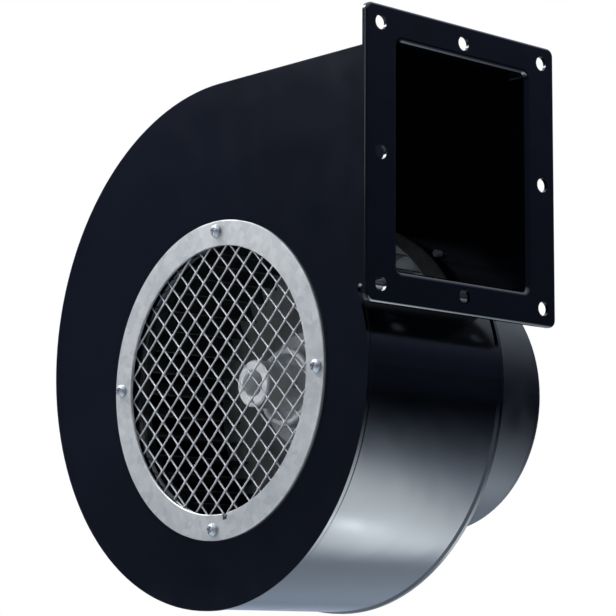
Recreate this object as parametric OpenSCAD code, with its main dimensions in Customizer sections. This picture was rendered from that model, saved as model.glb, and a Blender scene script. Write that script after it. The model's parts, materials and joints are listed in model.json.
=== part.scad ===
// Single-inlet centrifugal blower with a forward-curved impeller and a brushed DC motor.
// The origin is the centre of the outlet flange's face: +X points out of the outlet,
// +Y runs from the inlet side to the motor side, +Z is up. Millimetres.

/* [Scroll housing] */
// Depth of the housing over both side plates
housing_depth = 105; // [90:1:130]
// Thickness of the housing sheet
sheet = 1; // [0.8:0.1:1.5]
// Gap from the impeller's rim to the first and smallest scroll arc, on the right
scroll_gap = 31; // [27:0.5:36]
// Growth of the radius from the lower right arc to the lower left arc
scroll_grow_low = 19; // [15:1:25]
// Growth of the radius from the lower left arc to the upper left arc
scroll_grow_high = 6; // [3:0.5:10]
// Radius of the short arc that runs up to the tongue
tongue_arc_r = 97; // [92:1:104]
// Sideways place of the first arc's centre from the shaft
scroll_x = -5.5; // [-8:0.5:-3]
// Height of the first arc's centre from the shaft
scroll_z = -1; // [-3:0.5:2]
// Height of the outlet duct inside the sheet
duct_inside_h = 125.5; // [118:0.5:128]
// Radius of the bend at the tongue
tongue_r = 4; // [3:0.5:6]
// Depth of the folded seam round each side plate
seam_depth = 4; // [3:0.5:6]
// Length over which the seam's free edge slopes down to the wrap
seam_slope = 1.8; // [1:0.1:2]

/* [Outlet flange] */
// Length of the outlet duct past the scroll's right side, to the flange's face
outlet_len = 20.5; // [19:0.5:40]
// Width of the flange beyond the duct, at each side
flange_side = 22; // [20:0.5:28]
// Width of the flange beyond the duct, at top and bottom
flange_top = 17.25; // [16:0.25:22]
// Thickness of the flange sheet
flange_t = 2; // [1.5:0.5:3]
// Depth of the flange's outer rim, folded back
flange_rim = 3.5; // [3.5:0.5:8]
// Radius of the flange's corners
flange_corner = 4.5; // [4:0.5:8]
// Distance from a hole to the flange's side edge
flange_hole_side = 10.5; // [9:0.5:12]
// Distance from a hole to the flange's top or bottom edge
flange_hole_top = 10; // [8.5:0.5:10.5]
// Diameter of the flange holes
flange_hole_d = 8; // [6:0.5:9]
// Length of the collar that the duct slides over
collar_len = 12; // [8:1:18]
// Radius of the collar's corners
collar_corner = 3; // [2:0.5:5]
// Radius of the rounded lip where the outlet opens in the flange's face
mouth_r = 3; // [2:0.5:3]

/* [Inlet] */
// Step from the blades' inner edge in to the throat of the inlet
inlet_step = 5.5; // [3:0.5:8]
// Width of the inlet ring, from its bore to its rim
ring_w = 14.5; // [13:0.5:18]
// Thickness of the inlet ring
ring_t = 1.5; // [1:0.1:2]
// Distance from the ring's rim in to its screws
ring_screw_in = 6; // [5:0.5:7]
// Number of ring screws
ring_screw_n = 4; // [4:1:8]
// Diameter of the wire in the guard
wire_d = 1.6; // [1.2:0.1:1.8]
// Distance between neighbouring wires
wire_pitch = 10; // [8:0.5:14]
// Depth of the inlet nozzle behind the front plate
nozzle_depth = 13; // [10:0.5:15]

/* [Impeller] */
// Outside diameter of the impeller
impeller_d = 196; // [186:1:210]
// Depth of a blade, from the rim to its inner edge
blade_depth = 16; // [14:0.5:18]
// Number of blades
blade_n = 40; // [24:2:44]
// Thickness of a blade
blade_t = 0.8; // [0.6:0.1:1]
// Radius of a blade's curve
blade_curve_r = 18; // [17:0.5:24]
// Distance from the front plate's face to the impeller's front ring
impeller_front = 17; // [16:0.5:20]
// Thickness of the impeller's sheet
impeller_sheet = 1.2; // [1:0.1:1.5]
// Distance from the front plate's face to the impeller's back disc
disc_front = 88; // [85:0.5:92]
// Depth of the dish in the middle of the back disc
dish_depth = 18; // [12:1:22]

/* [Hub] */
// Diameter of the hub's nose
nose_d = 27; // [24:1:30]
// Diameter of the open recess in the nose
nose_recess_d = 15; // [13:0.5:17]
// Depth of the open recess in the nose
nose_recess_depth = 17; // [12:1:18]
// Distance from the front plate's face to the nose
nose_front = 27; // [22:1:30]
// Diameter of the hub's boss
boss_d = 46; // [42:1:50]
// Wall round the recess in the boss
boss_wall = 3.5; // [2.5:0.5:4.5]
// Distance from the front plate's face to the boss
boss_front = 51; // [48:1:54]
// Depth of the ring-shaped recess in the boss
boss_recess_depth = 11; // [8:1:12]
// Diameter of the hub's rear flange
hub_flange_d = 66; // [62:1:70]
// Thickness of the hub's rear flange
hub_flange_t = 4; // [3:0.5:5]

/* [Motor] */
// Distance from the motor to the outside of its cover
cover_space = 33; // [28:1:38]
// Gap between the motor and the inside of the cover's end
cover_end_gap = 3; // [2:0.5:10]
// Thickness of the cover's sheet
cover_sheet = 1; // [0.8:0.1:1.5]
// Radius of the cover's rear edge
cover_edge_r = 7; // [4:0.5:10]
// Width by which the motor's mounting plate laps the back plate, round its hole
plate_lap = 11; // [9:0.5:14]
// Thickness of the motor's mounting plate
plate_t = 2; // [1.5:0.5:3]
// Outside diameter of the motor
motor_d = 92; // [88:1:96]
// Wall of the motor's can
can_wall = 3; // [2.5:0.5:4]
// Length of an end cap
cap_len = 11; // [10.5:0.5:12]
// Diameter of the shaft
shaft_d = 12; // [10:0.5:13]
// Length of the armature's iron
core_len = 28; // [22:1:36]
// Gap between the armature and the magnets
air_gap = 1; // [0.6:0.1:1.5]
// Thickness of a field magnet
magnet_t = 5; // [4:0.5:6]
// Number of armature slots
slot_n = 12; // [10:1:16]
// Diameter of the commutator
commutator_d = 28; // [26:1:30]

/* [Bearings] */
// Outside diameter of a bearing
bearing_d = 28; // [26:1:30]
// Width of a bearing
bearing_w = 8; // [7:0.5:9]
// Number of balls in a bearing
ball_n = 8; // [6:1:9]

/* [Hidden] */
$fn = 64;
// Running gap between a bearing's balls and its outer race
run_gap = 0.05;
// Easy gap between parts that slide together
fit_gap = 0.15;
// Length by which a cutter reaches past what it cuts
cut = 1;
// Radius of the M4 screws
screw_r = 2;

black_paint = [0.09, 0.10, 0.12];
zinc = [0.74, 0.76, 0.78];
steel = [0.62, 0.63, 0.65];
copper = [0.72, 0.42, 0.22];

impeller_r = impeller_d / 2;
blade_eye_r = impeller_r - blade_depth;
scroll_r = impeller_r + scroll_gap;
flange_reach = scroll_x + scroll_r + outlet_len;

// Scroll outline: each arc is [centre x, centre z, radius, first angle, last angle],
// seen from the inlet side
arc_right = [scroll_x, scroll_z, scroll_r, -90, 0];
arc_low = [scroll_x, scroll_z + scroll_grow_low, scroll_r + scroll_grow_low, 180, 270];
arc_high = [scroll_x + scroll_grow_high, arc_low[1], arc_low[2] + scroll_grow_high, 90, 180];
arc_tongue = [scroll_x + scroll_r - tongue_arc_r, scroll_z, tongue_arc_r, 0, 90];
scroll_arcs = [arc_right, arc_low, arc_high, arc_tongue];
scroll_top = arc_high[1] + arc_high[2];
duct_floor = scroll_top - duct_inside_h - 4 * sheet;
flange_rise = duct_floor + 2 * sheet + duct_inside_h / 2;
// The tongue's bend touches the duct's floor and the last arc
tongue_centre = [arc_tongue[0], arc_tongue[1]];
bend_rise = duct_floor - tongue_r - arc_tongue[1];
tongue_angle = asin(bend_rise / (tongue_arc_r + tongue_r));
tongue_out = [cos(tongue_angle), sin(tongue_angle)];
bend = tongue_centre + (tongue_arc_r + tongue_r) * tongue_out;
// The duct's sheet ends at the back of the flange
duct_end = flange_reach - flange_t;
collar_wall = 1.2;
collar_w = housing_depth - 2 * sheet;
flange_w = collar_w + 2 * flange_side;
flange_h = duct_inside_h + 2 * flange_top;
flange_edge_r = 1.5;

throat_r = blade_eye_r - inlet_step;
ring_r = throat_r + ring_w;
ring_bevel = 0.4;
ring_notch = 3.6;
ring_notch_angle = 277.5;
ring_screw_place_r = ring_r - ring_screw_in;
ring_screw_reach = 6;
inlet_hole_in = 4.5;
inlet_hole_r = ring_screw_place_r - inlet_hole_in;
guard_gap = 0.5;
guard_r = inlet_hole_r - guard_gap;
guard_depth = 2 * wire_d + run_gap;
nozzle_sheet = 1;
nozzle_flange_r = ring_r + 1;

front_ring_lip = 3;
front_ring_step = 1;
disc_back = disc_front + impeller_sheet;
dish_front = disc_front - dish_depth;
dish_margin = 2;
dish_slope = 1.5;
dish_r = hub_flange_d / 2 + dish_margin;
dish_foot_r = dish_r + dish_slope * dish_depth;
disc_bore_gap = 4;
hub_back = dish_front;
hub_bevel = 1;
shaft_r = shaft_d / 2;
shaft_bevel = 0.8;
shaft_front = nose_front + nose_recess_depth;
grub_r = 2.5;
grub_inset = 4;
grub_key = 2.5;
grub_y = shaft_front + grub_inset;
hub_rivet_n = 6;
hub_rivet_r = 1.5;
hub_rivet_head_h = 0.8;
// The rivets stand halfway between the boss and the rim of the hub's flange
hub_rivet_place_r = (boss_d + hub_flange_d) / 4;

// Motor, counted back from its mounting plate
plate_front = housing_depth;
motor_front = plate_front + plate_t;
can_front = motor_front + cap_len;
spigot = 2;
turn_len = 6;
turn_gap = 0.5;
core_front = can_front + spigot + turn_len + turn_gap;
core_back = core_front + core_len;
// Behind the iron: its end turns, the brush holders, their card and the cap's spigot
winding_gap = 1.1;
holder_depth = 8.6;
card_t = 1.8;
card_front = core_back + turn_len + winding_gap + holder_depth;
can_back = card_front + card_t + spigot;
motor_back = can_back + cap_len;
cover_back = motor_back + cover_end_gap + cover_sheet;
motor_r = motor_d / 2;
can_bore_r = motor_r - can_wall;
armature_r = can_bore_r - magnet_t - air_gap;
magnet_past = 3;
magnet_angle = 65;
back_hole_gap = 3;
back_hole_r = impeller_r + back_hole_gap;
plate_r = back_hole_r + plate_lap;
plate_screw_place_r = back_hole_r + plate_lap / 2;
plate_screw_n = 6;
plate_screw_reach = 3;
motor_screw_in = 12;
motor_screw_place_r = can_bore_r - motor_screw_in;
motor_screw_n = 4;
motor_screw_reach = 4;
cover_r = motor_r + cover_space;
cover_screw_reach = 7;
post_n = 3;
post_r = (cover_r + motor_r) / 2;
post_d = 8;
post_bore_spare = 1;
grommet_r = 6;
grommet_bore_r = 3;
grommet_lip = 2;
cap_rib_w = 3;
cap_spigot_gap = 1;
cap_pocket_gap = 5;
cap_floor = 4;
cap_bore_gap = 1.5;
plate_bore_lap = 2;
tie_r = 2;
tie_gap = 0.5;
tie_place_r = can_bore_r - tie_r - tie_gap;

commutator_len = 8;
commutator_r = commutator_d / 2;
commutator_front = card_front - commutator_len - turn_gap;
bar_gap_w = 0.6;
bar_gap_depth = 2;
slot_mouth = 2.5;
winding_margin = 1;
card_bore_gap = 2;
holder_gap = 1.5;
holder_w = 9;
holder_past = 5;
brush_w = 6;
brush_len = 13;
holder_len = brush_len + holder_past;
brush_out = 1;
spring_r = 2.2;
spring_wire_r = 0.35;
spring_turns = 3;
spring_gap = 0.5;

bearing_r = bearing_d / 2;
race_mid_r = (bearing_r + shaft_r) / 2;
ball_r = 0.3 * (bearing_r - shaft_r);
race_gap = 0.22 * (bearing_r - shaft_r);
race_land = 0.5;
shaft_past = 1;
shield_t = 0.5;
front_bearing = can_front - bearing_w;
rear_bearing = can_back;

// Moves a piece from the shaft's frame to the flange's: there the shaft is the Y axis,
// and y = 0 is the outer face of the front plate
module from_shaft() {
    translate([-flange_reach, -housing_depth / 2, -flange_rise]) children();
}

// A flat profile in x and z, from y0 to y1
module slab(y0, y1) {
    translate([0, y1, 0]) rotate([90, 0, 0]) linear_extrude(y1 - y0) children();
}

// A turned piece about the shaft, from a profile in r and y
module turned() {
    rotate([-90, 0, 0]) rotate_extrude($fn = 128) children();
}

// Copies n pieces round the shaft at radius r
module around(n, r, first = 0) {
    for (i = [0:n - 1])
        rotate([0, -first - i * 360 / n, 0]) translate([r, 0, 0]) children();
}

// A turned rod about its own y axis
module rod(r, y0, y1) {
    translate([0, y0, 0]) rotate([-90, 0, 0]) cylinder(r = r, h = y1 - y0);
}

// A pan-head screw that points along +y, its head's underside at y = 0
module pan_screw(r, len) {
    head_r = 1.9 * r;
    head_h = 1.3 * r;
    difference() {
        union() {
            rotate([-90, 0, 0]) rotate_extrude() polygon([
                [0, -head_h], [0.55 * head_r, -head_h], [0.85 * head_r, -0.75 * head_h],
                [head_r, -0.35 * head_h], [head_r, 0], [0, 0]]);
            rod(r, 0, len);
        }
        for (turn = [0, 90])
            rotate([0, turn, 0])
                translate([-0.6 * head_r, -head_h - cut, -0.13 * head_r])
                    cube([1.2 * head_r, cut + 0.5 * head_h, 0.26 * head_r]);
    }
}

module rounded_rect(w, h, r) {
    square([w - 2 * r, h], center = true);
    square([w, h - 2 * r], center = true);
    for (x = [-1, 1], z = [-1, 1])
        translate([x * (w / 2 - r), z * (h / 2 - r)]) circle(r);
}

// ---- Scroll housing ----

// A sector of a disc, or of the ring outside radius inner, between two angles
module sector(r, from, to, inner = 0) {
    corners = [for (a = [from, (from + to) / 2, to]) 2 * r * [cos(a), sin(a)]];
    intersection() {
        difference() {
            circle(r, $fn = 180);
            if (inner > 0) circle(inner, $fn = 180);
        }
        polygon(concat([[0, 0]], corners));
    }
}

// The outline of the housing, drawn in by inset
module housing_2d(inset) {
    floor_z = duct_floor + inset;
    r = arc_tongue[2] - inset;
    corner_x = arc_tongue[0] + sqrt(pow(r, 2) - pow(floor_z - arc_tongue[1], 2));
    for (arc = scroll_arcs)
        translate([arc[0], arc[1]]) sector(arc[2] - inset, arc[3], arc[4]);
    translate([scroll_x - cut, scroll_z - cut])
        square([arc_tongue[0] - scroll_x + 2 * cut, floor_z - scroll_z + 2 * cut]);
    translate([arc_high[0] - cut, floor_z])
        square([duct_end - arc_high[0] + cut, scroll_top - inset - floor_z]);
    difference() {
        polygon([[corner_x - 2 * cut, floor_z + cut], [bend[0], floor_z + cut], bend,
                 tongue_centre + r * tongue_out, tongue_centre + (r - 2 * cut) * tongue_out]);
        translate(bend) circle(tongue_r + inset);
    }
}

// A strip that follows the outline between two insets, open at the outlet
module strip(y0, y1, outer, inner) {
    depth = inner - outer;
    for (arc = scroll_arcs)
        slab(y0, y1) translate([arc[0], arc[1]])
            sector(arc[2] - outer, arc[3], min(arc[4], arc == arc_tongue ? tongue_angle : 360),
                arc[2] - inner);
    slab(y0, y1) translate(bend)
        sector(tongue_r + inner, 90, 180 + tongue_angle, tongue_r + outer);
    slab(y0, y1) translate([bend[0], duct_floor + outer]) square([duct_end - bend[0], depth]);
    slab(y0, y1) translate([arc_high[0], scroll_top - inner])
        square([duct_end - arc_high[0], depth]);
}

// The rim folded over the wrap round a side plate, whose outer face is at y = 0
module seam() {
    // [inset, depth] of the rim's corners
    rim = [[0, 0], [sheet, 0], [sheet, seam_depth], [0, seam_depth - seam_slope]];
    for (arc = scroll_arcs)
        translate([arc[0], 0, arc[1]]) rotate([90, 0, 0]) rotate(arc[3])
            rotate_extrude(angle = (arc == arc_tongue ? tongue_angle : arc[4]) - arc[3], $fn = 180)
                polygon([for (p = rim) [arc[2] - p[0], -p[1]]]);
    translate([bend[0], 0, bend[1]]) rotate([90, 0, 0]) rotate(90)
        rotate_extrude(angle = 90 + tongue_angle) polygon([for (p = rim) [tongue_r + p[0], -p[1]]]);
    for (side = [[bend[0], duct_floor, 1], [arc_high[0], scroll_top, -1]])
        translate([side[0], 0, side[1]]) rotate([90, 0, 90]) linear_extrude(duct_end - side[0])
            polygon([for (p = rim) [p[1], side[2] * p[0]]]);
}

// A side plate and its rim, as they lie on the motor's side
module folded_plate() {
    slab(housing_depth - sheet, housing_depth) housing_2d(0);
    translate([0, housing_depth, 0]) mirror([0, 1, 0]) seam();
}

module front_plate() {
    color(black_paint) from_shaft() difference() {
        translate([0, housing_depth, 0]) mirror([0, 1, 0]) folded_plate();
        rod(inlet_hole_r, -cut, sheet + cut);
        around(ring_screw_n, ring_screw_place_r) rod(screw_r, -cut, sheet + cut);
    }
}

module scroll_wrap() {
    color(black_paint) from_shaft() strip(sheet, housing_depth - sheet, sheet, 2 * sheet);
}

module back_plate() {
    color(black_paint) from_shaft() difference() {
        folded_plate();
        rod(back_hole_r, housing_depth - seam_depth, housing_depth + cut);
        around(plate_screw_n, plate_screw_place_r, 45)
            rod(screw_r, housing_depth - 2 * sheet, housing_depth + cut);
    }
}

// Cuts a rounded edge of radius r round a block of size w by h, whose face is at z = 0
module edge_round(w, h, corner, r) {
    for (side = [0, 1], turn = [0, 180]) {
        across = side == 0 ? w : h;
        along = side == 0 ? h : w;
        rotate(turn + 90 * side) translate([across / 2 - r, along / 2 - corner, -r])
            rotate([90, 0, 0]) linear_extrude(along - 2 * corner) difference() {
                square(r + cut);
                circle(r);
            }
    }
    for (x = [0, 1], y = [0, 1])
        mirror([x, 0, 0]) mirror([0, y, 0])
            translate([w / 2 - corner, h / 2 - corner, -r])
                rotate_extrude(angle = 90) translate([corner - r, 0]) difference() {
                    square(r + cut);
                    circle(r);
                }
}

// Cuts a rounded lip of radius r round an opening of size w by h in a face at z = 0
module lip_round(w, h, corner, r) {
    module lip() {
        difference() {
            translate([-cut, -r]) square(r + cut);
            translate([r, -r]) circle(r);
        }
    }
    for (side = [0, 1], turn = [0, 180]) {
        across = side == 0 ? w : h;
        along = side == 0 ? h : w;
        rotate(turn + 90 * side) translate([across / 2, along / 2 - corner, 0])
            rotate([90, 0, 0]) linear_extrude(along - 2 * corner) lip();
    }
    for (x = [0, 1], y = [0, 1])
        mirror([x, 0, 0]) mirror([0, y, 0]) translate([w / 2 - corner, h / 2 - corner, 0])
            rotate_extrude(angle = 90) translate([corner, 0]) lip();
}

module outlet_flange() {
    open_w = collar_w - 2 * collar_wall;
    open_h = duct_inside_h - 2 * collar_wall;
    color(black_paint) rotate([90, 0, 90]) difference() {
        union() {
            translate([0, 0, -flange_t]) linear_extrude(flange_t)
                rounded_rect(flange_w, flange_h, flange_corner);
            translate([0, 0, -flange_rim]) linear_extrude(flange_rim) difference() {
                rounded_rect(flange_w, flange_h, flange_corner);
                rounded_rect(flange_w - 2 * flange_t, flange_h - 2 * flange_t,
                    flange_corner - flange_t);
            }
            translate([0, 0, -collar_len]) linear_extrude(collar_len)
                rounded_rect(collar_w, duct_inside_h, collar_corner);
        }
        translate([0, 0, -collar_len - cut]) linear_extrude(collar_len + 2 * cut)
            rounded_rect(open_w, open_h, collar_corner);
        edge_round(flange_w, flange_h, flange_corner, flange_edge_r);
        lip_round(open_w, open_h, collar_corner, mouth_r);
        for (x = [-1, 0, 1], y = [-1, 0, 1])
            if (x != 0 || y != 0)
                translate([x * (flange_w / 2 - flange_hole_side),
                           y * (flange_h / 2 - flange_hole_top), -flange_t - cut])
                    cylinder(d = flange_hole_d, h = flange_t + 2 * cut);
    }
}

// ---- Inlet ----

// A flange behind the front plate, a wall round the guard, and a curve in to the throat
module inlet_nozzle() {
    wall_r = inlet_hole_r + guard_gap;
    bell_r = wall_r - throat_r;
    bell_y = guard_depth + guard_gap;
    color(black_paint) from_shaft() difference() {
        turned() {
            translate([wall_r, sheet]) square([nozzle_flange_r - wall_r, nozzle_sheet]);
            translate([wall_r, sheet]) square([nozzle_sheet, bell_y + nozzle_sheet - sheet]);
            translate([wall_r, bell_y + bell_r]) intersection() {
                difference() {
                    circle(bell_r, $fn = 96);
                    circle(bell_r - nozzle_sheet, $fn = 96);
                }
                translate([-bell_r, -bell_r]) square(bell_r);
            }
            translate([throat_r, bell_y + bell_r])
                square([nozzle_sheet, nozzle_depth - bell_y - bell_r]);
        }
        around(ring_screw_n, ring_screw_place_r) rod(screw_r, -cut, nozzle_depth);
    }
}

module inlet_ring() {
    bevel = ring_bevel;
    color(zinc) from_shaft() difference() {
        turned() polygon([
            [throat_r, 0], [throat_r, bevel - ring_t], [throat_r + bevel, -ring_t],
            [ring_r - bevel, -ring_t], [ring_r, bevel - ring_t], [ring_r, 0]]);
        around(ring_screw_n, ring_screw_place_r) rod(screw_r, -ring_t - cut, cut);
        rotate([0, -ring_notch_angle, 0])
            translate([throat_r - cut, -ring_t - cut, -ring_notch / 2])
                cube([cut + ring_notch, ring_t + 2 * cut, ring_notch]);
    }
}

// Two layers of straight wires at 45 degrees, each wire cut to the guard's circle
module mesh_guard() {
    count = floor((guard_r - wire_d) / wire_pitch);
    color(zinc) from_shaft()
        for (layer = [0, 1], i = [-count:count]) {
            off = i * wire_pitch;
            half = sqrt(pow(guard_r, 2) - pow(off, 2));
            rotate([0, 45 + 90 * layer, 0])
                translate([-half, wire_d / 2 + layer * (wire_d + run_gap), off])
                    rotate([0, 90, 0]) cylinder(d = wire_d, h = 2 * half, $fn = 24);
        }
}

module ring_screws() {
    color(zinc) from_shaft() around(ring_screw_n, ring_screw_place_r)
        translate([0, -ring_t, 0]) rotate([0, 20, 0]) pan_screw(screw_r, ring_t + ring_screw_reach);
}

// ---- Motor and its cover ----

module motor_plate() {
    color(zinc) from_shaft() difference() {
        rod(plate_r, plate_front, motor_front);
        rod(bearing_r - plate_bore_lap, plate_front - cut, motor_front + cut);
        around(plate_screw_n, plate_screw_place_r, 45)
            rod(screw_r, plate_front - cut, motor_front + cut);
        around(motor_screw_n, motor_screw_place_r, 45)
            rod(screw_r, plate_front - cut, motor_front + cut);
        around(post_n, post_r, 90) rod(screw_r, plate_front - cut, motor_front + cut);
    }
}

// Screws from the rear, whose ends show inside the housing
module motor_plate_screws() {
    color(zinc) from_shaft() around(plate_screw_n, plate_screw_place_r, 45)
        translate([0, motor_front, 0]) rotate([180, 0, 0])
            pan_screw(screw_r, plate_t + 2 * sheet + plate_screw_reach);
}

// A deep-drawn can, open to the front
module motor_cover() {
    outer = cover_r;
    inner = outer - cover_sheet;
    edge = cover_edge_r;
    color(black_paint) from_shaft() difference() {
        turned() {
            difference() {
                union() {
                    translate([0, motor_front])
                        square([outer, cover_back - edge - motor_front]);
                    translate([0, cover_back - edge - cut]) square([outer - edge, edge + cut]);
                    translate([outer - edge, cover_back - edge]) circle(edge);
                }
                translate([0, motor_front - cut])
                    square([inner, cover_back - edge - motor_front + cut]);
                translate([0, cover_back - edge - cut])
                    square([outer - edge, edge + cut - cover_sheet]);
                translate([outer - edge, cover_back - edge]) circle(edge - cover_sheet);
            }
        }
        around(post_n, post_r, 90) rod(screw_r, cover_back - 2 * cover_sheet, cover_back + cut);
        translate([0, 0, -post_r]) rod(grommet_r, cover_back - 2 * cover_sheet, cover_back + cut);
    }
}

module cover_posts() {
    post_back = cover_back - cover_sheet;
    color(zinc) from_shaft() around(post_n, post_r, 90) difference() {
        union() {
            translate([0, motor_front, 0]) rotate([-90, 0, 0])
                cylinder(d = post_d, h = post_back - motor_front, $fn = 6);
            rod(screw_r, plate_front, motor_front);
        }
        rod(screw_r, post_back - cover_screw_reach - post_bore_spare, post_back + cut);
    }
}

module cover_screws() {
    color(zinc) from_shaft() around(post_n, post_r, 90)
        translate([0, cover_back, 0]) rotate([180, 0, 0])
            pan_screw(screw_r, cover_sheet + cover_screw_reach);
}

// A rubber grommet that grips the edge of the cover's cable hole
module cable_grommet() {
    lip = grommet_lip;
    bore = grommet_bore_r;
    color([0.05, 0.05, 0.05]) from_shaft() translate([0, cover_back - cover_sheet, -post_r])
        turned() difference() {
            union() {
                translate([bore, -lip]) square([grommet_r + lip - bore, lip]);
                translate([bore, -lip]) square([grommet_r - bore, 2 * lip + cover_sheet]);
                translate([bore, cover_sheet]) square([grommet_r + lip - bore, lip]);
            }
            translate([grommet_r + lip, cover_sheet + lip]) circle(lip / 2);
        }
}

module motor_can() {
    color(steel) from_shaft() slab(can_front, can_back) difference() {
        circle(motor_r, $fn = 128);
        circle(can_bore_r, $fn = 128);
    }
}

// An end cap whose bearing seat opens towards the motor, drawn from y = 0 inwards
module end_cap() {
    difference() {
        turned() difference() {
            union() {
                square([motor_r, cap_len]);
                translate([bearing_r + cap_rib_w, cap_len])
                    square([can_bore_r - bearing_r - cap_rib_w - cap_spigot_gap, spigot]);
            }
            translate([0, -cut]) square([shaft_r + cap_bore_gap, cap_len + 2 * cut]);
            translate([0, cap_len - bearing_w]) square([bearing_r, bearing_w + cut]);
            translate([bearing_r + cap_pocket_gap, cap_floor])
                square([can_bore_r - bearing_r - 2 * cap_pocket_gap, cap_len]);
        }
        around(2, tie_place_r, 90) rod(tie_r, -cut, cap_len + spigot + cut);
        around(motor_screw_n, motor_screw_place_r, 45) rod(screw_r, -cut, cap_floor + cut);
    }
}

module front_end_cap() {
    color(steel) from_shaft() translate([0, motor_front, 0]) end_cap();
}

module rear_end_cap() {
    color(steel) from_shaft() translate([0, motor_back, 0]) mirror([0, 1, 0]) end_cap();
}

module motor_screws() {
    color(zinc) from_shaft() around(motor_screw_n, motor_screw_place_r, 45)
        translate([0, plate_front, 0]) pan_screw(screw_r, plate_t + motor_screw_reach);
}

module tie_bolts() {
    color(zinc) from_shaft() around(2, tie_place_r, 90) rod(tie_r, motor_front, motor_back);
}

module field_magnets() {
    reach = 2 * motor_r;
    half = magnet_angle;
    color([0.22, 0.22, 0.24]) from_shaft()
        slab(core_front - magnet_past, core_back + magnet_past) intersection() {
            difference() {
                circle(can_bore_r, $fn = 128);
                circle(can_bore_r - magnet_t, $fn = 128);
            }
            for (side = [-1, 1])
                polygon([[0, 0], side * reach * [cos(half), sin(half)],
                         side * reach * [cos(half), -sin(half)]]);
        }
}

module brush_card() {
    color([0.55, 0.36, 0.20]) from_shaft() difference() {
        slab(card_front, card_front + card_t) difference() {
            circle(can_bore_r, $fn = 128);
            circle(commutator_r + card_bore_gap);
        }
        around(2, tie_place_r, 90) rod(tie_r, card_front - cut, can_back);
    }
}

module brush_holders() {
    color("goldenrod") from_shaft() around(2, commutator_r + holder_gap)
        translate([0, card_front - holder_depth, 0]) difference() {
            translate([0, 0, -holder_w / 2]) cube([holder_len, holder_depth, holder_w]);
            translate([-cut, (holder_depth - brush_w) / 2, -brush_w / 2])
                cube([holder_len, brush_w, brush_w]);
        }
}

module brushes() {
    color([0.16, 0.16, 0.17]) from_shaft() difference() {
        around(2, 0)
            translate([commutator_r - brush_out, card_front - holder_depth / 2 - brush_w / 2 + fit_gap,
                       fit_gap - brush_w / 2])
                cube([brush_len, brush_w - 2 * fit_gap, brush_w - 2 * fit_gap]);
        rod(commutator_r + run_gap, can_front, can_back);
    }
}

// A round wire swept along a helix on the x axis
module helix(r, wire, len, turns) {
    sides = 6;
    rings = turns * 14;
    points = [for (i = [0:rings], k = [0:sides - 1])
        let (a = i * 360 / 14, b = k * 360 / sides, rr = r + wire * cos(b))
            [i * len / rings + wire * sin(b), rr * cos(a), rr * sin(a)]];
    faces = concat(
        [[for (k = [0:sides - 1]) sides - 1 - k]],
        [for (i = [0:rings - 1], k = [0:sides - 1])
            let (a = i * sides + k, b = i * sides + (k + 1) % sides)
                [a, b, b + sides, a + sides]],
        [[for (k = [0:sides - 1]) rings * sides + k]]);
    polyhedron(points, faces);
}

module brush_springs() {
    start = commutator_r - brush_out + brush_len + spring_gap;
    end = commutator_r + holder_gap + holder_len - cut - spring_gap;
    color(zinc) from_shaft() around(2, start)
        translate([0, card_front - holder_depth / 2, 0])
            helix(spring_r, spring_wire_r, end - start, spring_turns);
}

// ---- Bearings ----

module race_groove() {
    translate([race_mid_r, bearing_w / 2]) circle(ball_r + run_gap);
}

module outer_race() {
    inner = race_mid_r + race_gap / 2 + race_land;
    turned() difference() {
        union() {
            translate([inner, 0]) square([bearing_r - inner, bearing_w]);
            for (y = [0, bearing_w - shield_t])
                translate([race_mid_r - race_gap / 2, y])
                    square([bearing_r - race_mid_r, shield_t]);
        }
        race_groove();
    }
}

module inner_race() {
    outer = race_mid_r - race_gap / 2 - race_land;
    turned() difference() {
        translate([shaft_r, 0]) square([outer - shaft_r, bearing_w]);
        race_groove();
    }
}

module front_bearing_outer() {
    color(steel) from_shaft() translate([0, front_bearing, 0]) outer_race();
}

module rear_bearing_outer() {
    color(steel) from_shaft() translate([0, rear_bearing, 0]) outer_race();
}

module front_bearing_inner() {
    color(steel) from_shaft() translate([0, front_bearing, 0]) inner_race();
}

module rear_bearing_inner() {
    color(steel) from_shaft() translate([0, rear_bearing, 0]) inner_race();
}

module bearing_balls() {
    color(steel) from_shaft()
        for (y = [front_bearing, rear_bearing])
            around(ball_n, race_mid_r) translate([0, y + bearing_w / 2, 0]) sphere(ball_r);
}

// ---- Rotor of the motor ----

module motor_shaft() {
    bevel = shaft_bevel;
    back = rear_bearing + bearing_w + shaft_past;
    color(steel) from_shaft() turned() polygon([
        [0, shaft_front], [shaft_r - bevel, shaft_front], [shaft_r, shaft_front + bevel],
        [shaft_r, back - bevel], [shaft_r - bevel, back], [0, back]]);
}

module slots_2d(r, mouth) {
    for (i = [0:slot_n - 1])
        rotate(i * 360 / slot_n) {
            translate([0.74 * armature_r, 0]) circle(r, $fn = 32);
            translate([0.74 * armature_r, -mouth / 2]) square([armature_r, mouth]);
        }
}

module armature_core() {
    color([0.35, 0.36, 0.38]) from_shaft() slab(core_front, core_back) difference() {
        circle(armature_r, $fn = 128);
        circle(shaft_r);
        slots_2d(0.14 * armature_r, slot_mouth);
    }
}

// Copper that fills the slots, and the end turns at both ends of the iron
module armature_windings() {
    inner = commutator_r + winding_margin;
    outer = 0.9 * armature_r;
    round = turn_len / 2;
    color(copper) from_shaft() {
        slab(core_front, core_back) for (i = [0:slot_n - 1])
            rotate(i * 360 / slot_n) translate([0.74 * armature_r, 0])
                circle(0.14 * armature_r - fit_gap, $fn = 32);
        for (y = [core_front - turn_len, core_back])
            translate([0, y, 0]) turned() {
                translate([inner + round, 0]) square([outer - inner - turn_len, turn_len]);
                for (r = [inner + round, outer - round])
                    translate([r, round]) circle(round, $fn = 32);
            }
    }
}

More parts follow.
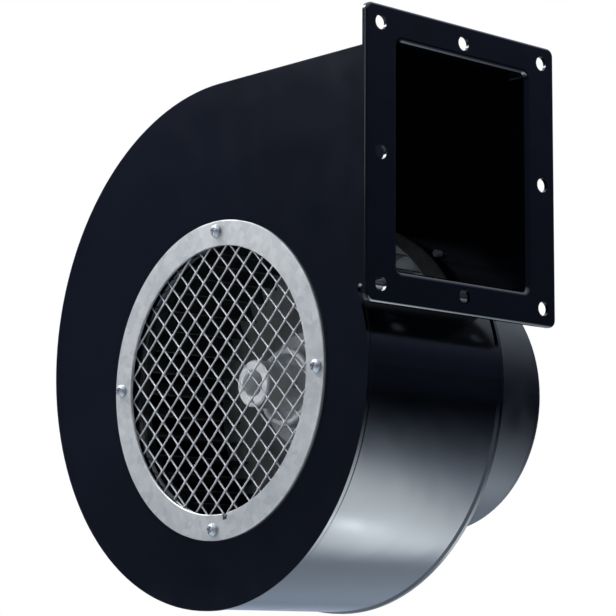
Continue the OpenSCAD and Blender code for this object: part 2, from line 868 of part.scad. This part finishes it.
module commutator() {
    bars = slot_n;
    color(copper) from_shaft() slab(commutator_front, card_front) difference() {
        circle(commutator_r);
        circle(shaft_r);
        for (i = [0:bars - 1])
            rotate(i * 360 / bars) translate([commutator_r - bar_gap_depth, -bar_gap_w / 2])
                square([cut + bar_gap_depth, bar_gap_w]);
    }
}

// ---- Impeller ----

module impeller_hub() {
    nose = nose_d / 2;
    recess = nose_recess_d / 2;
    boss = boss_d / 2;
    flange_front = hub_back - hub_flange_t;
    bevel = hub_bevel;
    color(zinc) from_shaft() difference() {
        turned() polygon([
            [recess, nose_front + bevel], [recess + bevel, nose_front],
            [nose - bevel, nose_front], [nose, nose_front + bevel],
            [nose, boss_front + boss_recess_depth],
            [boss - boss_wall, boss_front + boss_recess_depth],
            [boss - boss_wall, boss_front + bevel / 2], [boss - boss_wall + bevel / 2, boss_front],
            [boss - bevel, boss_front], [boss, boss_front + bevel],
            [boss, flange_front], [hub_flange_d / 2, flange_front],
            [hub_flange_d / 2, hub_back], [shaft_r, hub_back],
            [shaft_r, shaft_front], [recess, shaft_front]]);
        for (turn = [0, 90])
            rotate([0, turn, 0]) translate([shaft_r - cut, grub_y, 0])
                rotate([0, 90, 0]) cylinder(r = grub_r, h = nose);
        around(hub_rivet_n, hub_rivet_place_r, 15)
            rod(hub_rivet_r, flange_front - cut, hub_back + cut);
    }
}

module hub_grub_screws() {
    len = nose_d / 2 - shaft_r - hub_bevel;
    color(steel) from_shaft() for (turn = [0, 90])
        rotate([0, turn, 0]) translate([shaft_r, grub_y, 0]) rotate([0, 90, 0]) difference() {
            cylinder(r = grub_r, h = len);
            translate([0, 0, len - grub_key]) cylinder(d = grub_key, h = grub_key + cut, $fn = 6);
        }
}

module hub_rivets() {
    head_r = 1.8 * hub_rivet_r;
    head_h = hub_rivet_head_h;
    color(zinc) from_shaft() around(hub_rivet_n, hub_rivet_place_r, 15) {
        rod(hub_rivet_r, hub_back - hub_flange_t, hub_back + impeller_sheet);
        rod(head_r, hub_back - hub_flange_t - head_h, hub_back - hub_flange_t);
        rod(head_r, hub_back + impeller_sheet, hub_back + impeller_sheet + head_h);
    }
}

// The back disc, pressed forwards into a cone that carries the hub
module impeller_disc() {
    bore = shaft_r + disc_bore_gap;
    color(zinc) from_shaft() difference() {
        turned() polygon([
            [bore, dish_front], [dish_r, dish_front], [dish_foot_r, disc_front],
            [impeller_r, disc_front], [impeller_r, disc_back],
            [dish_foot_r - impeller_sheet / 2, disc_back],
            [dish_r - impeller_sheet / 2, dish_front + impeller_sheet],
            [bore, dish_front + impeller_sheet]]);
        around(hub_rivet_n, hub_rivet_place_r, 15)
            rod(hub_rivet_r, dish_front - cut, dish_front + impeller_sheet + cut);
    }
}

// One forward-curved blade in section, curving the way the impeller turns
module blade_2d() {
    intersection() {
        translate([blade_eye_r, -blade_curve_r]) intersection() {
            difference() {
                circle(blade_curve_r + blade_t / 2, $fn = 96);
                circle(blade_curve_r - blade_t / 2, $fn = 96);
            }
            square(2 * blade_curve_r);
        }
        circle(impeller_r - fit_gap, $fn = 180);
    }
}

module impeller_blades() {
    color(zinc) from_shaft() slab(impeller_front + impeller_sheet, disc_front)
        for (i = [0:blade_n - 1]) rotate(i * 360 / blade_n) blade_2d();
}

// The front ring, with its inner edge turned forwards
module impeller_front_ring() {
    lip = front_ring_lip;
    inner = blade_eye_r + front_ring_step;
    color(zinc) from_shaft() turned() {
        translate([inner, impeller_front]) square([impeller_r - inner, impeller_sheet]);
        translate([inner, impeller_front - lip])
            square([impeller_sheet, lip + impeller_sheet]);
    }
}

front_plate();
scroll_wrap();
back_plate();
outlet_flange();
inlet_nozzle();
inlet_ring();
mesh_guard();
ring_screws();
motor_plate();
motor_plate_screws();
motor_cover();
cover_posts();
cover_screws();
cable_grommet();
motor_can();
front_end_cap();
rear_end_cap();
motor_screws();
tie_bolts();
field_magnets();
brush_card();
brush_holders();
brushes();
brush_springs();
front_bearing_outer();
rear_bearing_outer();
motor_shaft();
front_bearing_inner();
rear_bearing_inner();
bearing_balls();
armature_core();
armature_windings();
commutator();
impeller_hub();
hub_grub_screws();
hub_rivets();
impeller_disc();
impeller_blades();
impeller_front_ring();
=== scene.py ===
# Centrifugal blower in black stove enamel, dressed for the studio.
# The fixed frame brings every working part in at its own place; this script gives the parts
# their finishes and adds the welded wire guard. Metres, along the frame's own axes.
import json
import math

import bpy
from mathutils import Matrix, Vector


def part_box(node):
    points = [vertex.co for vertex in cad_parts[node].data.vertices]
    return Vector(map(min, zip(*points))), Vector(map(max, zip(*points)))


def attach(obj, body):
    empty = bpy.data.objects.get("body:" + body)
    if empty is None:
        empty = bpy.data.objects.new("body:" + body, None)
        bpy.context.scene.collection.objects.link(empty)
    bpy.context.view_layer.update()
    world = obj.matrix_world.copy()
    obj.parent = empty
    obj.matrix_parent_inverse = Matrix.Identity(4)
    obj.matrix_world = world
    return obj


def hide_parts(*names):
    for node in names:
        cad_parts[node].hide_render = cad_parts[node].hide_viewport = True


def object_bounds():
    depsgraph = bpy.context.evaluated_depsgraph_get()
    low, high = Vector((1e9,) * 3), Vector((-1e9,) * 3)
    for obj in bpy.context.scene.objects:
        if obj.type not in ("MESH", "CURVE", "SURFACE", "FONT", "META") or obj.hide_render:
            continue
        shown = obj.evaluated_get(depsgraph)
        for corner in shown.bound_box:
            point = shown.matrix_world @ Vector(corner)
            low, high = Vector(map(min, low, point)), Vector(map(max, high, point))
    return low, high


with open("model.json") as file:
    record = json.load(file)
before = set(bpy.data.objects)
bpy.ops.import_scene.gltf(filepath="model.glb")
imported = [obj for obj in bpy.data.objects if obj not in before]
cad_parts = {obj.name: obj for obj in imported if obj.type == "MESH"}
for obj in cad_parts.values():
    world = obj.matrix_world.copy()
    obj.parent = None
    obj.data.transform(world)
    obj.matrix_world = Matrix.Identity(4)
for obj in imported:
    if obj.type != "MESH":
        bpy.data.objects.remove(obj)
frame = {"nodes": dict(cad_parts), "record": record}
cadLow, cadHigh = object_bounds()
bpy.ops.object.select_all(action="DESELECT")
scene = bpy.context.scene
scene.view_settings.view_transform = "Standard"
print("frame loaded:", len(frame["nodes"]), "parts")

mm = 0.001

camera = {
    "place": (0.8367, -0.8776, -0.2588),
    "azimuth": 47.62,        # degrees round from the inlet side
    "elevation": -8.56,      # it looks up from a little below
    "roll": 0.33,
    "lens": 133.1,
    "sensor": 36.0,
    "clip": (0.05, 20.0),
}


def addCamera():
    turn, tilt = math.radians(camera["azimuth"]), math.radians(camera["elevation"])
    level = math.cos(tilt)
    towards = Vector((-math.sin(turn) * level, math.cos(turn) * level, -math.sin(tilt)))
    roll = Matrix.Rotation(math.radians(camera["roll"]), 3, "Z")
    data = bpy.data.cameras.new("camera")
    data.lens, data.sensor_width = camera["lens"], camera["sensor"]
    data.clip_start, data.clip_end = camera["clip"]
    eye = bpy.data.objects.new("camera", data)
    eye.location = camera["place"]
    eye.rotation_euler = (towards.to_track_quat("-Z", "Y").to_matrix() @ roll).to_euler()
    scene.collection.objects.link(eye)
    scene.camera = eye


addCamera()
print("camera placed")


# an sRGB hex colour as the linear colour that a socket takes
def hexColour(text):
    parts = [int(text[i:i + 2], 16) / 255 for i in (1, 3, 5)]
    return tuple(p / 12.92 if p <= 0.04045 else ((p + 0.055) / 1.055) ** 2.4 for p in parts) + (1.0,)


# adds one node: a node or socket among the values is linked, anything else is set
def addNode(tree, kind, values=None):
    node = tree.nodes.new("ShaderNode" + kind)
    for key, value in (values or {}).items():
        if isinstance(value, bpy.types.Node):
            value = value.outputs[0]
        if isinstance(value, bpy.types.NodeSocket):
            tree.links.new(value, node.inputs[key])
        elif isinstance(key, int) or key in node.inputs:
            node.inputs[key].default_value = value
        else:
            setattr(node, key, value)
    return node


def newMaterial(name):
    material = bpy.data.materials.new(name)
    material.use_nodes = True
    tree = material.node_tree
    tree.nodes.clear()
    return material, tree, addNode(tree, "TexCoord").outputs["Object"]


def span(fromLow, fromHigh, toLow, toHigh):
    return {"From Min": fromLow, "From Max": fromHigh, "To Min": toLow, "To Max": toHigh}


cloud = {"detail": 3.0, "from": 0.3, "to": 0.7}      # nearly all of the noise lies between these


# cloudy patches of a real size that wander between two values
def patches(tree, place, size, low, high):
    noise = addNode(tree, "TexNoise", {"Scale": 1 / size, "Detail": cloud["detail"], "Vector": place})
    return addNode(tree, "MapRange", {"Value": noise, **span(cloud["from"], cloud["to"], low, high)})


enamel = {
    "dark": "#05070c", "light": "#080b12", "cloud": 70 * mm,
    "ior": 1.5,
    "haze": 18 * mm, "hazeShare": 0.15,      # patches where dust has dulled the gloss
    # size, detail, depth and strength of the sheet's waves, the orange peel and the dust
    "relief": (
        (26 * mm, 1.0, 0.35 * mm, 0.6),
        (2.4 * mm, 1.0, 0.012 * mm, 0.4),
        (0.7 * mm, 2.0, 0.003 * mm, 0.3),
    ),
}


# stove enamel on steel sheet: deep black with a blue cast, levelled in the oven, so that
# lamps show in it as soft bands
def blackEnamel(name, rough):
    material, tree, place = newMaterial(name)
    colour = addNode(tree, "Mix", {"data_type": "RGBA", 0: patches(tree, place, enamel["cloud"], 0, 1),
                                   6: hexColour(enamel["dark"]), 7: hexColour(enamel["light"])})
    low, high = rough * (1 - enamel["hazeShare"]), rough * (1 + enamel["hazeShare"])
    under = {}
    for size, detail, depth, strength in enamel["relief"]:
        noise = addNode(tree, "TexNoise", {"Scale": 1 / size, "Detail": detail, "Vector": place})
        bump = addNode(tree, "Bump", {"Height": noise, "Distance": depth, "Strength": strength, **under})
        under = {"Normal": bump}
    haze = patches(tree, place, enamel["haze"], low, high)
    shader = addNode(tree, "BsdfPrincipled", {"Base Color": colour.outputs[2], "Roughness": haze,
                                              "IOR": enamel["ior"], "Normal": bump})
    addNode(tree, "OutputMaterial", {"Surface": shader})
    return material


zinc = {
    "crystal": 4 * mm, "crystalShare": 0.55,
    "bloom": 22 * mm, "bloomShare": 0.45,    # the white bloom that dulls it
    "rough": (0.42, 0.5),
    "metallic": 0.6,
    "grain": 0.6 * mm, "detail": 3.0, "depth": 0.01 * mm, "strength": 0.5,
}


# hot-dip galvanised sheet: zinc crystals a few millimetres across, each a slightly
# different grey, under a thin white bloom
def galvanisedSheet(name, dark, light):
    material, tree, place = newMaterial(name)
    crystals = addNode(tree, "TexVoronoi", {"Scale": 1 / zinc["crystal"], "Randomness": 1.0, "Vector": place})
    tone = addNode(tree, "SeparateColor", {"Color": crystals.outputs["Color"]})
    bloom = addNode(tree, "Math", {"operation": "MULTIPLY", 1: zinc["bloomShare"],
                                   0: patches(tree, place, zinc["bloom"], 0, 1)})
    shade = addNode(tree, "Math", {"operation": "MULTIPLY_ADD", 0: tone.outputs["Red"],
                                   1: zinc["crystalShare"], 2: bloom})
    colour = addNode(tree, "Mix", {"data_type": "RGBA", 0: shade, 6: hexColour(dark), 7: hexColour(light)})
    rough = addNode(tree, "MapRange", {"Value": tone.outputs["Green"], **span(0, 1, *zinc["rough"])})
    grain = addNode(tree, "TexNoise", {"Scale": 1 / zinc["grain"], "Detail": zinc["detail"], "Vector": place})
    bump = addNode(tree, "Bump", {"Height": grain, "Distance": zinc["depth"], "Strength": zinc["strength"]})
    shader = addNode(tree, "BsdfPrincipled", {"Base Color": colour.outputs[2], "Metallic": zinc["metallic"],
                                              "Roughness": rough, "Normal": bump})
    addNode(tree, "OutputMaterial", {"Surface": shader})
    return material


metal = {
    "cloud": 9 * mm,
    "polish": 5 * mm, "polishShare": 0.15,   # patches rubbed brighter or left duller
    "detail": 2.0, "strength": 0.5,
}


# metals that differ only in colour, polish and the size and depth of their grain
def plainMetal(name, dark, light, rough, grain, depth, metallic=1.0):
    material, tree, place = newMaterial(name)
    colour = addNode(tree, "Mix", {"data_type": "RGBA", 0: patches(tree, place, metal["cloud"], 0, 1),
                                   6: hexColour(dark), 7: hexColour(light)})
    low, high = rough * (1 - metal["polishShare"]), rough * (1 + metal["polishShare"])
    polish = patches(tree, place, metal["polish"], low, high)
    noise = addNode(tree, "TexNoise", {"Scale": 1 / grain, "Detail": metal["detail"], "Vector": place})
    bump = addNode(tree, "Bump", {"Height": noise, "Distance": depth, "Strength": metal["strength"]})
    shader = addNode(tree, "BsdfPrincipled", {"Base Color": colour.outputs[2], "Metallic": metallic,
                                              "Roughness": polish, "Normal": bump})
    addNode(tree, "OutputMaterial", {"Surface": shader})
    return material


lathe = {
    "dark": "#d6d7d8", "light": "#e8e9e9", "cloud": 8 * mm,
    "mark": 0.5 * mm, "detail": 2.0,         # coarser than real tool marks, so that they show
    "depth": 0.02 * mm, "strength": 0.6,
    "rough": (0.36, 0.52),
    "metallic": 0.4,
}


# aluminium off the lathe, gone dull: fine rings about the shaft
def turnedAluminium(name):
    material, tree, place = newMaterial(name)
    low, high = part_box("motor_shaft")
    shaft = (low + high) / 2
    centred = addNode(tree, "Mapping", {"Vector": place, "Location": (-shaft.x, 0, -shaft.z)})
    axes = addNode(tree, "SeparateXYZ", {"Vector": centred})
    flat = addNode(tree, "CombineXYZ", {"X": axes.outputs["X"], "Y": axes.outputs["Z"]})
    radius = addNode(tree, "VectorMath", {"operation": "LENGTH", "Vector": flat})
    path = addNode(tree, "Math", {"operation": "ADD", 0: radius.outputs["Value"], 1: axes.outputs["Y"]})
    marks = addNode(tree, "TexNoise", {"noise_dimensions": "1D", "Scale": 1 / lathe["mark"],
                                       "Detail": lathe["detail"], "W": path})
    colour = addNode(tree, "Mix", {"data_type": "RGBA", 0: patches(tree, place, lathe["cloud"], 0, 1),
                                   6: hexColour(lathe["dark"]), 7: hexColour(lathe["light"])})
    rough = addNode(tree, "MapRange", {"Value": marks, **span(0, 1, *lathe["rough"])})
    bump = addNode(tree, "Bump", {"Height": marks, "Distance": lathe["depth"], "Strength": lathe["strength"]})
    shader = addNode(tree, "BsdfPrincipled", {"Base Color": colour.outputs[2], "Metallic": lathe["metallic"],
                                              "Roughness": rough, "Normal": bump})
    addNode(tree, "OutputMaterial", {"Surface": shader})
    return material


matt = {"cloud": 4 * mm, "detail": 3.0, "strength": 0.6}


# solids without metal, such as rubber, board, carbon and ferrite
def mattSolid(name, dark, light, rough, grain, depth):
    material, tree, place = newMaterial(name)
    colour = addNode(tree, "Mix", {"data_type": "RGBA", 0: patches(tree, place, matt["cloud"], 0, 1),
                                   6: hexColour(dark), 7: hexColour(light)})
    noise = addNode(tree, "TexNoise", {"Scale": 1 / grain, "Detail": matt["detail"], "Vector": place})
    bump = addNode(tree, "Bump", {"Height": noise, "Distance": depth, "Strength": matt["strength"]})
    shader = addNode(tree, "BsdfPrincipled", {"Base Color": colour.outputs[2], "Roughness": rough,
                                              "Normal": bump})
    addNode(tree, "OutputMaterial", {"Surface": shader})
    return material


# one for each of the record's slots; after the colours come roughness, grain and its depth
finishes = {
    # baked on flat sheet: glossy
    "black_coat": blackEnamel("blackEnamel", 0.15),
    # new sheet with its mottled crystals: pale and half dull
    "galvanised_sheet": galvanisedSheet("galvanisedSheet", "#aaadaf", "#cccdcc"),
    # electroplated: even, and duller than the screws
    "zinc_wire": plainMetal("galvanisedWire", "#a7a9ab", "#c0c1c2", 0.58, 0.5 * mm, 0.015 * mm, 0.5),
    # barrel-plated small parts, rubbed against each other: a soft shine
    "zinc_fastener": plainMetal("brightZincPlate", "#b6b8ba", "#cfd0d1", 0.38, 0.3 * mm, 0.006 * mm, 0.8),
    # moulded in a blasted tool: almost no shine
    "black_rubber": mattSolid("mouldedRubber", "#0a0a0b", "#161617", 0.62, 0.4 * mm, 0.02 * mm),
    # drawn tube left oily: dark, and clearer than bare steel
    "motor_steel": plainMetal("oiledTubeSteel", "#4b4e52", "#63676b", 0.36, 0.4 * mm, 0.01 * mm),
    # the die's skin: pale, coarse and flat
    "cast_aluminium": plainMetal("dieCastAluminium", "#a3a5a8", "#b9bbbe", 0.5, 0.8 * mm, 0.04 * mm),
    # off the lathe and gone dull: nearly white, with fine rings
    "turned_aluminium": turnedAluminium("turnedAluminium"),
    # pressed and fired powder: charcoal, matt
    "ferrite": mattSolid("sinteredFerrite", "#1d1d1f", "#2b2b2d", 0.7, 0.3 * mm, 0.02 * mm),
    # resin and paper: brown, with a slight sheen
    "card_board": mattSolid("phenolicBoard", "#5b3218", "#7a4824", 0.5, 0.5 * mm, 0.01 * mm),
    # rolled and stamped: warm and bright
    "brass_sheet": plainMetal("brightBrass", "#b8913f", "#d2ae5c", 0.26, 0.4 * mm, 0.006 * mm),
    "carbon": mattSolid("pressedCarbon", "#121214", "#1f1f22", 0.55, 0.25 * mm, 0.02 * mm),
    # ground: the clearest of the steels
    "bearing_steel": plainMetal("groundSteel", "#a9acaf", "#c3c6c9", 0.2, 0.2 * mm, 0.004 * mm),
    # varnished stack of thin sheets: dark, with a fine edge grain
    "lamination": plainMetal("stackedIronSheet", "#33363a", "#494d52", 0.42, 0.35 * mm, 0.02 * mm),
    # varnish over copper: red-brown, glossy
    "copper_wire": plainMetal("enamelledCopper", "#8a3f1c", "#a9552a", 0.3, 0.5 * mm, 0.03 * mm),
    "copper_bar": plainMetal("turnedCopper", "#b8683c", "#cf8353", 0.28, 0.3 * mm, 0.008 * mm),
}
# parts whose finish was made in another way than their slot's, and copies of a slot's finish made lighter or
# darker as painted light or shade
ownFinishes = {
    # thin and dull on the drawn cover
    "motor_cover": blackEnamel("drawnCoverEnamel", 0.38),
    # a lighter copy of the zinc: painted light on the disc, which the lamps reach through the inlet
    "impeller_disc": galvanisedSheet("paintedLightDiscZinc", "#c6c8c9", "#dedfdf"),
    # darker copies of the zinc: painted shade on the blades and the front ring, which lie in shadow inside
    # the housing
    "impeller_blades": galvanisedSheet("paintedShadeBladeZinc", "#4f5254", "#64676a"),
    "impeller_front_ring": galvanisedSheet("paintedShadeRingZinc", "#4f5254", "#64676a"),
    # ground, with a clear shine; near black as painted shade, for its end deep in the hub's bore
    "motor_shaft": plainMetal("paintedShadeShaftSteel", "#25272a", "#3b3d40", 0.3, 0.3 * mm, 0.006 * mm),
}


def addFinishes():
    for part in frame["record"]["subparts"]:
        slots = frame["nodes"][part["node"]].data.materials
        finish = ownFinishes.get(part["node"], finishes[part["material_slot"]])
        for i in range(len(slots)):
            slots[i] = finish
        if not len(slots):
            slots.append(finish)


addFinishes()
print("finishes ready:", len(finishes) + len(ownFinishes))

guard = {
    "wire": 1.05 * mm,
    "pitch": 10 * mm,
    "sink": 0.35,            # share of the wire that the weld has pressed in
    # where the wire swells at each weld, in pitches, and by how much
    "weld": ((-0.22, 1.0), (-0.12, 1.18), (0.0, 1.3), (0.12, 1.18), (0.22, 1.0)),
    "sides": 8,
    "turn": 45.0,
}


# one wire along x, swollen where the welds are
def weldedWire(reach):
    count = int(reach / guard["pitch"]) + 1
    steps = [(i + place) * guard["pitch"] for i in range(-count, count + 1) for place, size in guard["weld"]]
    sizes = [size for place, size in guard["weld"]] * (2 * count + 1)
    bpy.ops.mesh.primitive_circle_add(vertices=guard["sides"], radius=guard["wire"] / 2,
                                      location=(steps[0], 0, 0), rotation=(0, math.radians(90), 0))
    wire = bpy.context.object
    bpy.ops.object.transform_apply()
    bpy.ops.object.mode_set(mode="EDIT")
    for i in range(1, len(steps)):
        bpy.ops.mesh.extrude_region_move(TRANSFORM_OT_translate={"value": (steps[i] - steps[i - 1], 0, 0)})
        change = sizes[i] / sizes[i - 1]
        if change != 1:
            bpy.ops.transform.resize(value=(1, change, change))
    bpy.ops.object.mode_set(mode="OBJECT")
    return wire


# cuts a wire to its chord and closes both ends
def cutWire(wire, half):
    bpy.ops.object.select_all(action="DESELECT")
    wire.select_set(True)
    bpy.context.view_layer.objects.active = wire
    bpy.ops.object.mode_set(mode="EDIT")
    for end in (-1, 1):
        bpy.ops.mesh.select_all(action="SELECT")
        bpy.ops.mesh.bisect(plane_co=(end * half, 0, 0), plane_no=(end, 0, 0),
                            use_fill=True, clear_outer=True)
    bpy.ops.mesh.select_all(action="SELECT")
    bpy.ops.mesh.normals_make_consistent(inside=False)
    bpy.ops.mesh.faces_shade_smooth()
    bpy.ops.object.mode_set(mode="OBJECT")


# two layers of parallel wires, welded where they cross
def addGuard():
    low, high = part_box("mesh_guard")
    middle = (low + high) / 2
    radius = max(high.x - low.x, high.z - low.z) / 2
    apart = guard["wire"] * (1 - guard["sink"]) / 2
    count = int((radius - guard["wire"]) / guard["pitch"])
    pattern = weldedWire(radius)
    wires = []
    for layer in (-1, 1):
        turn = Matrix.Rotation(math.radians(guard["turn"] * layer), 4, "Y")
        for i in range(-count, count + 1):
            wire = bpy.data.objects.new("guardWire", pattern.data.copy())
            scene.collection.objects.link(wire)
            offset = i * guard["pitch"]
            cutWire(wire, math.sqrt(radius ** 2 - offset ** 2) - guard["wire"] / 2)
            lift = Matrix.Translation((0, layer * apart, offset))
            wire.data.transform(Matrix.Translation(middle) @ turn @ lift)
            wires.append(wire)
    bpy.ops.object.select_all(action="DESELECT")
    for wire in wires:
        wire.select_set(True)
    bpy.context.view_layer.objects.active = wires[0]
    bpy.ops.object.join()
    mesh = bpy.context.object
    mesh.name = "weldedGuard"
    bpy.data.objects.remove(pattern)
    mesh.data.materials.clear()
    mesh.data.materials.append(finishes["zinc_wire"])
    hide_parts("mesh_guard")
    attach(mesh, "housing")
    bpy.ops.object.select_all(action="DESELECT")


addGuard()
print("guard welded")

lamps = {
    "key": {"towards": (-0.58, -0.42, 0.70), "distance": 0.75, "size": 0.35, "power": 5.6, "gloss": True},
    "front": {"towards": (-0.42, -0.84, 0.33), "distance": 2.2, "size": 0.5, "power": 2.5, "gloss": True},
    # into the inlet; without gloss, or it would put a glare on the side plate
    "side": {"towards": (-0.80, -0.58, 0.06), "distance": 2.0, "size": 0.2, "power": 36.0, "gloss": False},
}


def addLamps(middle):
    for name, lamp in lamps.items():
        data = bpy.data.lights.new(name, "AREA")
        data.shape = "RECTANGLE"
        data.size = data.size_y = lamp["size"]
        data.energy = lamp["power"]
        light = bpy.data.objects.new(name, data)
        light.location = middle + Vector(lamp["towards"]).normalized() * lamp["distance"]
        light.rotation_euler = (middle - light.location).to_track_quat("-Z", "Y").to_euler()
        light.visible_camera = False
        light.visible_glossy = lamp["gloss"]
        scene.collection.objects.link(light)


# the rays in which gloss, metal and glass see the studio
def glossOrGlass(tree):
    rays = addNode(tree, "LightPath")
    return addNode(tree, "Math", {"operation": "MAXIMUM", 0: rays.outputs["Is Glossy Ray"],
                                  1: rays.outputs["Is Transmission Ray"]})


ground = {
    "drop": 0.21,                    # from the lowest point of the blower
    "size": 12.0,
    "dark": "#e4e5e7", "light": "#e9eaec", "cloud": 400 * mm,
    "rough": 0.9, "specular": 0.2,
    "ownShare": 0.6,                 # what the camera sees of it is mostly its own pale colour
}
# a painted glow: a strip of light painted on the floor behind the blower, which shows only in gloss as a
# painted reflection; each span runs from one place to another, and from one glow to another
strip = {
    "line": 0.24, "width": 0.14,     # its y, and how fast it fades across
    "strength": 8.0,
    "right": (0.8, 4.0, 1.0, 0.0),
    "left": (-0.14, -0.03, 0.0, 1.0),
    "beyond": (-0.12, -0.50, 1.8, 0.75),     # the plain backdrop past its left end
    "spot": (0.005, 0.21), "spotSize": 0.03, "spotStrength": 7.0, "spotFade": 2.0,
    "dim": "#cee3ff", "bright": "#ebf6ff", "full": 6.0,      # bluer where it glows less than full
}


def addFloor(middle):
    level = cadLow.z - ground["drop"]
    bpy.ops.mesh.primitive_plane_add(size=ground["size"], location=(middle.x, middle.y, level))
    floor = bpy.context.object
    floor.name = "floor"
    bpy.ops.object.transform_apply(location=True)
    material, tree, place = newMaterial("paleFloor")
    colour = addNode(tree, "Mix", {"data_type": "RGBA", 0: patches(tree, place, ground["cloud"], 0, 1),
                                   6: hexColour(ground["dark"]), 7: hexColour(ground["light"])})
    paint = addNode(tree, "BsdfPrincipled", {"Base Color": colour.outputs[2], "Roughness": ground["rough"],
                                             "Specular IOR Level": ground["specular"]})
    axes = addNode(tree, "SeparateXYZ", {"Vector": place})
    x, y = axes.outputs["X"], axes.outputs["Y"]
    # painted reflection: a glow painted on the floor, which only gloss and glass see
    off = addNode(tree, "Math", {"operation": "SUBTRACT", 0: y, 1: strip["line"]})
    across = addNode(tree, "Math", {"operation": "DIVIDE", 0: off, 1: strip["width"]})
    fade = addNode(tree, "Math", {"operation": "MULTIPLY_ADD", 0: across, 1: across, 2: 1.0})
    band = addNode(tree, "Math", {"operation": "DIVIDE", 0: strip["strength"], 1: fade})
    right = addNode(tree, "MapRange", {"interpolation_type": "SMOOTHSTEP", "Value": x,
                                       **span(*strip["right"])})
    band = addNode(tree, "Math", {"operation": "MULTIPLY", 0: band, 1: right})
    away = addNode(tree, "VectorMath", {"operation": "DISTANCE", 0: place, 1: (*strip["spot"], level)})
    near = addNode(tree, "Math", {"operation": "DIVIDE", 0: away.outputs["Value"], 1: strip["spotSize"]})
    fade = addNode(tree, "Math", {"operation": "MULTIPLY_ADD", 0: near, 1: near, 2: 1.0})
    fade = addNode(tree, "Math", {"operation": "POWER", 0: fade, 1: strip["spotFade"]})
    spot = addNode(tree, "Math", {"operation": "DIVIDE", 0: strip["spotStrength"], 1: fade})
    paintedGlow = addNode(tree, "Math", {"operation": "ADD", 0: band, 1: spot})
    beyond = addNode(tree, "MapRange", {"Value": x, **span(*strip["beyond"])})
    left = addNode(tree, "MapRange", {"interpolation_type": "SMOOTHSTEP", "Value": x,
                                      **span(*strip["left"])})
    glow = addNode(tree, "Mix", {"data_type": "FLOAT", 0: left, 2: beyond, 3: paintedGlow})
    fill = addNode(tree, "MapRange", {"Value": glow, **span(0.0, strip["full"], 0.0, 1.0)})
    tint = addNode(tree, "Mix", {"data_type": "RGBA", 0: fill, 6: hexColour(strip["dim"]),
                                 7: hexColour(strip["bright"])})
    lit = addNode(tree, "Emission", {"Color": tint.outputs[2], "Strength": glow})
    pale = addNode(tree, "Emission", {"Color": hexColour(ground["light"])})
    seen = addNode(tree, "MixShader", {0: ground["ownShare"], 1: paint, 2: pale})
    direct = addNode(tree, "LightPath").outputs["Is Camera Ray"]
    plain = addNode(tree, "MixShader", {0: direct, 1: paint, 2: seen})
    both = addNode(tree, "MixShader", {0: glossOrGlass(tree), 1: plain, 2: lit})
    addNode(tree, "OutputMaterial", {"Surface": both})
    floor.data.materials.append(material)
    bpy.ops.object.select_all(action="DESELECT")


# by height, from -1 straight down to 1 straight up
sky = {
    "band": (-0.05, 0.30, 0.06, 0.18),       # dim along the horizon
    "dome": (0.20, 0.95, 0.0, 1.7),          # and bright overhead
    "low": "#b0c2ff", "high": "#e2edff", "turn": (0.25, 0.50, 0.0, 1.0),
    "soft": "#f4f6f8", "softGlow": 0.30,     # the even light on all that isn't gloss
    "white": "#ffffff",
}


def addSky():
    world = bpy.data.worlds.new("studio")
    scene.world = world
    world.use_nodes = True
    tree = world.node_tree
    tree.nodes.clear()
    way = addNode(tree, "SeparateXYZ", {"Vector": addNode(tree, "TexCoord").outputs["Generated"]})
    height = way.outputs["Z"]
    band = addNode(tree, "MapRange", {"Value": height, **span(*sky["band"])})
    dome = addNode(tree, "MapRange", {"interpolation_type": "SMOOTHSTEP", "Value": height,
                                      **span(*sky["dome"])})
    turn = addNode(tree, "MapRange", {"interpolation_type": "SMOOTHSTEP", "Value": height,
                                      **span(*sky["turn"])})
    tint = addNode(tree, "Mix", {"data_type": "RGBA", 0: turn, 6: hexColour(sky["low"]),
                                 7: hexColour(sky["high"])})
    glow = addNode(tree, "Math", {"operation": "ADD", 0: band, 1: dome})
    shown = addNode(tree, "Background", {"Color": tint.outputs[2], "Strength": glow})
    soft = addNode(tree, "Background", {"Color": hexColour(sky["soft"]), "Strength": sky["softGlow"]})
    white = addNode(tree, "Background", {"Color": hexColour(sky["white"])})
    light = addNode(tree, "MixShader", {0: glossOrGlass(tree), 1: soft, 2: shown})
    direct = addNode(tree, "LightPath").outputs["Is Camera Ray"]
    addNode(tree, "OutputWorld", {"Surface": addNode(tree, "MixShader", {0: direct, 1: light, 2: white})})


def addStage():
    middle = (cadLow + cadHigh) / 2
    addLamps(middle)
    addFloor(middle)
    addSky()


addStage()
print("stage and lamps ready")
